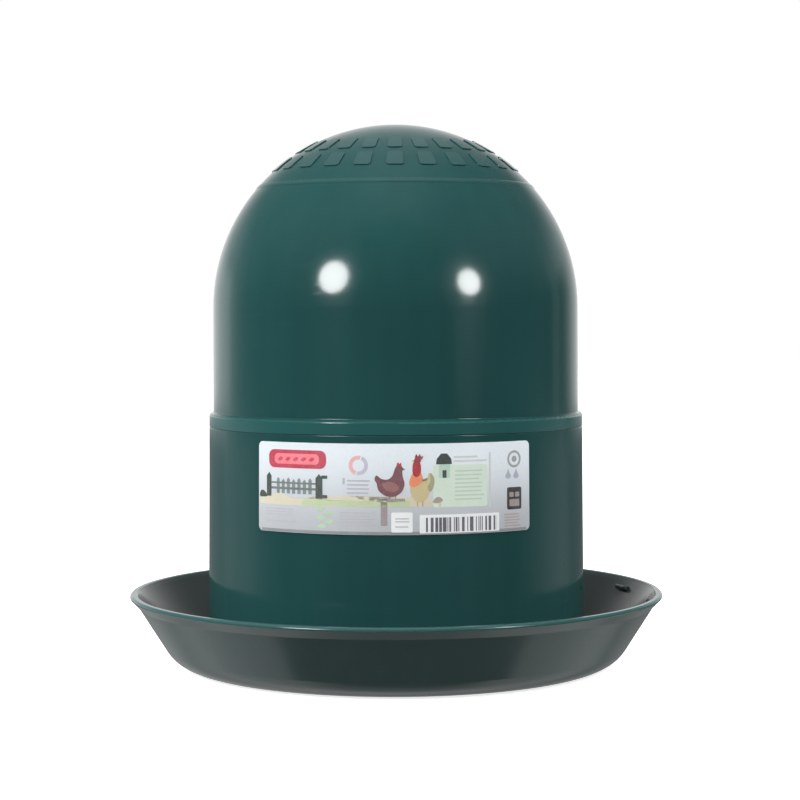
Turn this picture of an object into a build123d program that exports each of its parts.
from build123d import *

import os
from math import cos, radians, sin, tan

# Gravity poultry feeder, moulded in plastic.
#
# A dish-shaped tray carries an open-ended hopper body on three posts, which leave a gap
# for the feed to run out all round. Lugs on the body turn under hooks on the posts. A domed
# cover plugs into the body's mouth, a loose cone on the tray floor spreads the feed, and a
# printed label is stuck to the front of the body.
#
# Millimetres, +Z up, origin at the centre of the foot on the ground, label facing -Y.
# Radii are measured from the feeder's axis, and "_z" values are heights above the ground.

# ---------------------------------------------------------------- driving dimensions
wall = 1.8                  # moulded wall of the body, cover and cone
tray_wall = 2.0             # moulded wall of the tray

# tray
tray_h = 27.3
tray_base_r = 82.25         # where the sloping outer face would meet the ground
tray_rim_r = 99.5           # where it would meet the plane of the rim
tray_corner_r = 14.0        # round between the foot and the sloping face
lip_h = 4.4                 # lip that flares out of the sloping face up to the rim
lip_edge_h = 1.3            # its upright edge
lip_out = 0.3
lip_top_fillet = 1.0
lip_edge_fillet = 0.5
lip_root_fillet = 2.0
foot_fillet = 0.4
floor_step_fillet = 0.8
foot_inner_r = 62.0         # the tray stands on the ring outside this radius
foot_relief = 1.2           # the middle of the underside is raised by this much

# ring that keeps the cone central
locator_inner_r = 55.8
locator_outer_r = 57.6
locator_h = 3.0
locator_fillet = 0.6

# posts and bayonet hooks, three of each
post_count = 3
post_angle = 90.0           # the first post is at the back
post_top_z = 11.5           # the body rests at this height
post_inner_r = 62.6
post_outer_r = 75.7
post_half_angle = 12.0
post_wall = 2.0
hook_half_angle = 9.0
hook_inner_r = 71.4
hook_under_z = 14.5
hook_top_z = 17.0
stop_angle = 3.0            # width of the wall that ends the lug's travel under the hook
hook_fillet = 0.6

# lugs inside the rim, on which a nested tray rests
stack_lug_angle = 20.0
stack_lug_half_angle = 2.6
stack_lug_z = 22.8
stack_lug_h = 1.8
stack_lug_reach = 1.3
stack_lug_corner_r = 1.2
stack_lug_fillet = 0.5

# hopper body
mouth_z = 89.4              # top edge of the body, under the cover's collar
mouth_r = 69.9
body_foot_r = 70.6          # the outer face leans out towards the bottom
bead_h = 4.0                # thicker band along the bottom edge
bead_inner_r = 67.6
bead_fillet = 0.6
lug_half_angle = 5.0
lug_h = 2.6
lug_outer_r = 73.3
lug_corner_r = 1.2

# cover
dome_r = 68.2
dome_centre_z = 133.6
cover_draft = 0.2           # lean of the cover's upright wall, degrees
collar_h = 5.2
collar_fillet = 1.1
step_fillet = 0.4           # inside corner where the upright wall meets the step
seam_fillet = 0.3           # round on each side of the joint line
skirt_fillet = 0.4
skirt_outer_r = 67.8        # plugs into the body's mouth with room to slide
skirt_bottom_z = 77.5

# grip pattern and rings on the crown
pad_count = 24              # in each of two rows
pad_relief = 0.4
pad_root = 0.8              # depth to which a pad is sunk into the wall
pad_rows = (                # degrees down from the crown, length, upper width, lower width
    (29.5, 8.5, 4.4, 5.4),
    (39.0, 7.8, 5.4, 6.4),
)
pad_corner_r = 1.2
pad_edge_fillet = 0.35
ridge_polar = 49.0
ridge_section_r = 3.0
ridge_sink = 2.75           # a low swell, as the middle of its section is this far inside the dome
dimple_r = 4.0              # dimple at the very top, round the witness of the moulding gate
dimple_depth = 0.7
dimple_fillet = 0.5
gate_r = 1.0
gate_h = 0.4

# spreader cone
cone_base_r = 55.4
cone_rim_h = 2.5
cone_slope = 38.0
cone_tip_r = 9.0

# label
label_from_angle = -43.3    # about the front, positive to the right
label_to_angle = 42.0
label_bottom_z = 55.2
label_top_z = 86.7
label_film = 0.2
label_gap = 0.05            # adhesive behind the label
label_corner_r = 1.8

# ---------------------------------------------------------------- derived dimensions
tray_slope = (tray_rim_r - tray_base_r) / tray_h
wall_across = tray_wall * (1 + tray_slope ** 2) ** 0.5      # the sloping wall, cut level
lip_root_r = tray_rim_r - tray_slope * lip_h
centre_floor_z = foot_relief + tray_wall
trough_floor_z = tray_wall
body_lean = (body_foot_r - mouth_r) / (mouth_z - post_top_z)
bead_top_z = post_top_z + bead_h
step_z = mouth_z + collar_h
dimple_ball_r = (dimple_r ** 2 + dimple_depth ** 2) / (2 * dimple_depth)
cone_drop = (cone_base_r - cone_tip_r * sin(radians(cone_slope))) * tan(radians(cone_slope))
cone_tip_centre_z = (
    centre_floor_z + cone_rim_h + cone_drop - cone_tip_r * cos(radians(cone_slope))
)
post_angles = [post_angle + i * 360 / post_count for i in range(post_count)]
front = -90.0               # direction in which the label faces


def tray_inner_r(z):
    """Radius of the tray's sloping inner face at height z."""
    return tray_base_r + tray_slope * z - wall_across


def body_r(z):
    """Radius of the hopper body's outer face at height z."""
    return body_foot_r - body_lean * (z - post_top_z)


def upright_r(sphere_r, z):
    """Radius at height z of the drafted wall that runs down from a dome of this radius."""
    draft = radians(cover_draft)
    return sphere_r * cos(draft) + (dome_centre_z + sphere_r * sin(draft) - z) * tan(draft)


def ring_sector(z, inner_r, outer_r, first_angle, last_angle):
    """Sector of a flat ring about the feeder's axis, at height z."""
    with BuildSketch(Plane.XY.offset(z)) as sector:
        with BuildLine():
            outer = CenterArc((0, 0), outer_r, first_angle, last_angle - first_angle)
            inner = CenterArc((0, 0), inner_r, first_angle, last_angle - first_angle)
            Line(outer @ 0, inner @ 0)
            Line(outer @ 1, inner @ 1)
        make_face()
    return sector.sketch


# ---------------------------------------------------------------- feed tray
# one post with its hook, drawn on the +X axis
with BuildPart() as hook_post:
    block = ring_sector(foot_relief, post_inner_r, post_outer_r, -post_half_angle, post_half_angle)
    extrude(block, amount=post_top_z - foot_relief)
    fillet(hook_post.edges().filter_by(Axis.Z), hook_fillet)
    fillet(hook_post.faces().sort_by(Axis.Z)[-1].edges(), hook_fillet)
    # upright behind the hook, and the stop that ends the lug's travel
    root_z = post_top_z - post_wall
    upright = ring_sector(
        root_z, post_outer_r - post_wall, post_outer_r, -hook_half_angle, hook_half_angle
    )
    stop = ring_sector(
        root_z, hook_inner_r, post_outer_r, -hook_half_angle, stop_angle - hook_half_angle
    )
    extrude(upright + stop, amount=hook_top_z - root_z)
    # flange that holds the lug down
    flange = ring_sector(
        hook_under_z, hook_inner_r, post_outer_r, -hook_half_angle, hook_half_angle
    )
    extrude(flange, amount=hook_top_z - hook_under_z)
    fillet(hook_post.faces().sort_by(Axis.Z)[-1].edges(), hook_fillet)

# hollow under one post, and the tool window below its hook
with BuildPart() as post_hollow:
    hollow = ring_sector(
        0,
        post_inner_r + post_wall,
        post_outer_r - post_wall,
        post_wall - post_half_angle,
        post_half_angle - post_wall,
    )
    extrude(hollow, amount=post_top_z - post_wall)
    window = ring_sector(
        0,
        hook_inner_r,
        post_outer_r - post_wall,
        stop_angle - hook_half_angle,
        hook_half_angle,
    )
    extrude(window, amount=hook_under_z)

# one stacking lug, drawn on the +X axis
with BuildPart() as stack_lug:
    lug_r = tray_inner_r(stack_lug_z)
    extrude(
        ring_sector(
            stack_lug_z,
            lug_r - stack_lug_reach,
            lug_r + tray_wall / 2,
            -stack_lug_half_angle,
            stack_lug_half_angle,
        ),
        amount=stack_lug_h,
    )
    fillet(stack_lug.edges().filter_by(Axis.Z).sort_by(Axis.X)[:2], stack_lug_corner_r)
    fillet(stack_lug.faces().sort_by(Axis.X)[0].edges(), stack_lug_fillet)

with BuildPart() as feed_tray:
    with BuildSketch(Plane.XZ):
        with BuildLine():
            FilletPolyline(
                (0, foot_relief),
                (foot_inner_r, foot_relief),
                (foot_inner_r, 0),
                (tray_base_r, 0),
                (lip_root_r, tray_h - lip_h),
                (tray_rim_r + lip_out, tray_h - lip_edge_h),
                (tray_rim_r + lip_out, tray_h),
                (tray_rim_r - wall_across, tray_h),
                (tray_inner_r(trough_floor_z), trough_floor_z),
                (foot_inner_r + tray_wall, trough_floor_z),
                (foot_inner_r, centre_floor_z),
                (locator_outer_r, centre_floor_z),
                (locator_outer_r, centre_floor_z + locator_h),
                (locator_inner_r, centre_floor_z + locator_h),
                (locator_inner_r, centre_floor_z),
                (0, centre_floor_z),
                radius=[
                    0,
                    foot_fillet,
                    foot_fillet,
                    tray_corner_r,
                    lip_root_fillet,
                    lip_edge_fillet,
                    lip_top_fillet,
                    lip_top_fillet,
                    tray_corner_r - tray_wall,
                    floor_step_fillet,
                    floor_step_fillet,
                    floor_step_fillet,
                    locator_fillet,
                    locator_fillet,
                    0,
                    0,
                ],
                close=True,
            )
        make_face()
    revolve(axis=Axis.Z)
    # posts and hooks
    with PolarLocations(0, post_count, start_angle=post_angle):
        add(hook_post.part)
        add(post_hollow.part, mode=Mode.SUBTRACT)
    # lugs inside the rim
    with PolarLocations(0, post_count, start_angle=stack_lug_angle):
        add(stack_lug.part)
feed_tray.part.label = "feed_tray"

# ---------------------------------------------------------------- hopper body
with BuildPart() as hopper_body:
    with BuildSketch(Plane.XZ):
        with BuildLine():
            FilletPolyline(
                (body_foot_r, post_top_z),
                (mouth_r, mouth_z),
                (mouth_r - wall, mouth_z),
                (body_r(bead_top_z) - wall, bead_top_z + body_foot_r - wall - bead_inner_r),
                (bead_inner_r, bead_top_z),
                (bead_inner_r, post_top_z),
                radius=[bead_fillet, seam_fillet, seam_fillet, bead_fillet, bead_fillet, bead_fillet],
                close=True,
            )
        make_face()
    revolve(axis=Axis.Z)
    for angle in post_angles:
        extrude(
            ring_sector(
                post_top_z,
                body_foot_r - wall / 2,
                lug_outer_r,
                angle - lug_half_angle,
                angle + lug_half_angle,
            ),
            amount=lug_h,
        )
    lug_corners = hopper_body.edges().filter_by(Axis.Z)
    fillet(lug_corners.sort_by(SortBy.DISTANCE)[-2 * post_count:], lug_corner_r)
hopper_body.part.label = "hopper_body"

# ---------------------------------------------------------------- cover
def grip_pad(polar, length, width_top, width_bottom):
    """One raised grip pad, drawn over the +X axis with its middle at this polar angle."""
    with BuildPart() as pad:
        with Locations((0, 0, dome_centre_z)):
            Sphere(dome_r + pad_relief)
            Sphere(dome_r - pad_root, mode=Mode.SUBTRACT)
        pad_plane = Plane(
            origin=(0, 0, dome_centre_z),
            x_dir=(0, 1, 0),
            z_dir=(sin(radians(polar)), 0, cos(radians(polar))),
        )
        with BuildSketch(pad_plane):
            with BuildLine():
                Polyline(
                    (-width_bottom / 2, -length / 2),
                    (width_bottom / 2, -length / 2),
                    (width_top / 2, length / 2),
                    (-width_top / 2, length / 2),
                    close=True,
                )
            make_face()
            fillet(vertices(), pad_corner_r)
        extrude(amount=2 * dome_r, mode=Mode.INTERSECT)
        outer_face = pad.faces().filter_by(GeomType.SPHERE).sort_by(SortBy.AREA)[-1]
        fillet(outer_face.edges(), pad_edge_fillet)
    return pad.part


pads = [grip_pad(*row) for row in pad_rows]

with BuildPart() as dome_cover:
    with BuildSketch(Plane.XZ):
        with BuildLine():
            dome_outside = CenterArc((0, dome_centre_z), dome_r, cover_draft, 90 - cover_draft)
            dome_inside = CenterArc((0, dome_centre_z), dome_r - wall, cover_draft, 90 - cover_draft)
            Line(dome_outside @ 1, dome_inside @ 1)
            FilletPolyline(
                dome_outside @ 0,
                (upright_r(dome_r, step_z), step_z),
                (mouth_r, step_z),
                (mouth_r, mouth_z),
                (skirt_outer_r, mouth_z),
                (skirt_outer_r, skirt_bottom_z),
                (upright_r(dome_r - wall, skirt_bottom_z), skirt_bottom_z),
                dome_inside @ 0,
                radius=[step_fillet, collar_fillet, seam_fillet, 0, skirt_fillet, 0],
            )
        make_face()
    revolve(axis=Axis.Z)
    # fine ring below the grip pads
    with BuildSketch(Plane.XZ):
        with Locations(
            (
                (dome_r - ridge_sink) * sin(radians(ridge_polar)),
                dome_centre_z + (dome_r - ridge_sink) * cos(radians(ridge_polar)),
            )
        ):
            Circle(ridge_section_r)
        with Locations((0, dome_centre_z)):
            Circle(dome_r - wall / 2, mode=Mode.SUBTRACT)
    revolve(axis=Axis.Z)
    # grip pads round the crown
    with PolarLocations(0, pad_count):
        add(pads)
    # dimple at the top, with the witness of the moulding gate in it
    with Locations((0, 0, dome_centre_z + dome_r - dimple_depth + dimple_ball_r)):
        Sphere(dimple_ball_r, mode=Mode.SUBTRACT)
    fillet(dome_cover.edges().sort_by(Axis.Z)[-1], dimple_fillet)
    with BuildSketch(Plane.XY.offset(dome_centre_z + dome_r - wall)):
        Circle(gate_r)
    extrude(amount=wall - dimple_depth + gate_h)
dome_cover.part.label = "dome_cover"

# ---------------------------------------------------------------- spreader cone
with BuildPart() as feed_cone:
    with BuildSketch(Plane.XZ):
        with BuildLine():
            tip = CenterArc((0, cone_tip_centre_z), cone_tip_r, 90 - cone_slope, cone_slope)
            Polyline(
                tip @ 0,
                (cone_base_r, centre_floor_z + cone_rim_h),
                (cone_base_r, centre_floor_z),
                (0, centre_floor_z),
                tip @ 1,
            )
        make_face()
    revolve(axis=Axis.Z)
    offset(amount=-wall, openings=feed_cone.faces().sort_by(Axis.Z)[0])
feed_cone.part.label = "feed_cone"

# ---------------------------------------------------------------- label
label_out = label_gap + label_film
label_start = radians(front + label_from_angle)
label_plane = Plane(
    origin=(0, 0, 0),
    x_dir=(cos(label_start), sin(label_start), 0),
    z_dir=(sin(label_start), -cos(label_start), 0),
)
with BuildPart() as side_label:
    with BuildSketch(label_plane):
        with BuildLine():
            Polyline(
                (body_r(label_bottom_z) + label_gap, label_bottom_z),
                (body_r(label_bottom_z) + label_out, label_bottom_z),
                (body_r(label_top_z) + label_out, label_top_z),
                (body_r(label_top_z) + label_gap, label_top_z),
                close=True,
            )
        make_face()
    revolve(axis=Axis.Z, revolution_arc=label_to_angle - label_from_angle)
    corner_edges = side_label.edges().filter_by(lambda edge: edge.length < 2 * label_film)
    fillet(corner_edges, label_corner_r)
side_label.part.label = "side_label"

os.makedirs("parts", exist_ok=True)
for piece in (feed_tray, hopper_body, dome_cover, feed_cone, side_label):
    export_step(piece.part, f"parts/{piece.part.label}.step")
